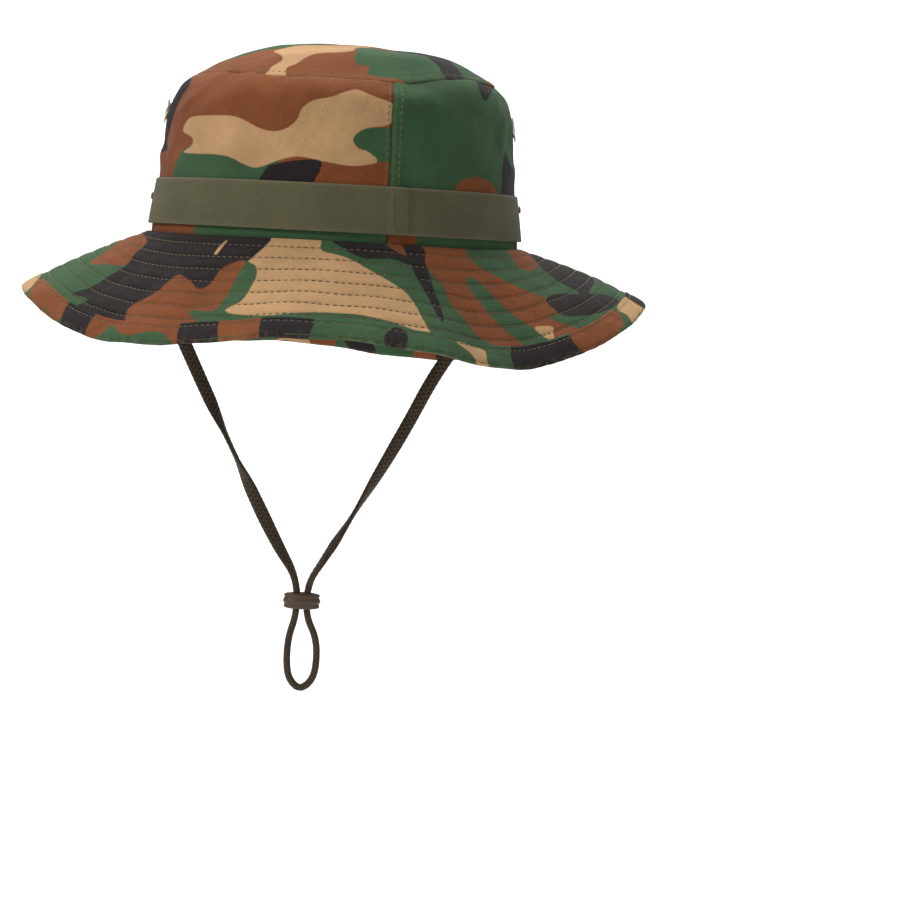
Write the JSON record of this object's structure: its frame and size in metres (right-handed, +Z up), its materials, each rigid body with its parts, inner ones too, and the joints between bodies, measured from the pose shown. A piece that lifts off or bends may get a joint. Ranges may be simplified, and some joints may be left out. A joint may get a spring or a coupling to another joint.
{
  "type": "boonie hat",
  "caption": "Camouflage boonie hat with a quilted drooping brim that folds up at the sides and snaps to a webbing band, screened vents and a chin cord with a sliding bead.",
  "frame": {"origin": "centre of the head opening, level with the seam between crown and brim", "axes": "+Z up through the crown, the hat faces -Y, +X is the wearer's left"},
  "size_m": [0.2878, 0.2904, 0.2983],
  "materials": {
    "camouflage_cloth": "matte",
    "binding_cloth": "matte",
    "interlining": "matte",
    "band_webbing": "matte",
    "sweatband_cotton": "matte",
    "antique_brass": "satin",
    "nickel_plate": "satin",
    "vent_gauze": "satin",
    "braided_cord": "matte",
    "slider_plastic": "satin"
  },
  "bodies": {
    "root": {"crown_tip": "camouflage_cloth", "crown_side_panel_left": "camouflage_cloth", "crown_side_panel_right": "camouflage_cloth", "brim_upper_front": "camouflage_cloth", "brim_upper_back": "camouflage_cloth", "brim_lower_front": "camouflage_cloth", "brim_lower_back": "camouflage_cloth", "brim_binding_front": "binding_cloth", "brim_binding_back": "binding_cloth", "brim_interlining": "interlining", "hat_band": "band_webbing", "sweatband": "sweatband_cotton", "crown_snap_stud_left": "antique_brass", "crown_snap_post_left": "antique_brass", "vent_eyelet_left_front": "nickel_plate", "vent_washer_left_front": "nickel_plate", "vent_screen_left_front": "vent_gauze", "vent_eyelet_left_back": "nickel_plate", "vent_washer_left_back": "nickel_plate", "vent_screen_left_back": "vent_gauze", "crown_snap_stud_right": "antique_brass", "crown_snap_post_right": "antique_brass", "vent_eyelet_right_front": "nickel_plate", "vent_washer_right_front": "nickel_plate", "vent_screen_right_front": "vent_gauze", "vent_eyelet_right_back": "nickel_plate", "vent_washer_right_back": "nickel_plate", "vent_screen_right_back": "vent_gauze", "chin_cord_left": "braided_cord", "chin_cord_right": "braided_cord", "chin_cord_loop": "braided_cord"},
    "left_brim_flap": {"left_flap_upper_front": "camouflage_cloth", "left_flap_upper_back": "camouflage_cloth", "left_flap_lower_front": "camouflage_cloth", "left_flap_lower_back": "camouflage_cloth", "left_flap_interlining": "interlining", "left_flap_binding": "binding_cloth", "brim_snap_socket_left": "antique_brass", "brim_snap_ring_left": "antique_brass"},
    "right_brim_flap": {"right_flap_upper_front": "camouflage_cloth", "right_flap_upper_back": "camouflage_cloth", "right_flap_lower_front": "camouflage_cloth", "right_flap_lower_back": "camouflage_cloth", "right_flap_interlining": "interlining", "right_flap_binding": "binding_cloth", "brim_snap_socket_right": "antique_brass", "brim_snap_ring_right": "antique_brass"},
    "cord_bead": {"cord_slider": "slider_plastic"}
  },
  "joints": [
    {"name": "left_brim_fold", "type": "hinge", "parent": "root", "child": "left_brim_flap", "pos_m": [0.102, 0, -0.00539], "axis": [0, -1, 0], "range_deg": [0, 137]},
    {"name": "right_brim_fold", "type": "hinge", "parent": "root", "child": "right_brim_flap", "pos_m": [-0.102, 0, -0.00735], "axis": [0, 1, 0], "range_deg": [0, 142.5]},
    {"name": "cord_slide", "type": "slide", "parent": "root", "child": "cord_bead", "axis": [0, 0, 1], "range_m": [-0.025, 0.075], "deforming": ["chin_cord_left", "chin_cord_right", "chin_cord_loop"]}
  ]
}
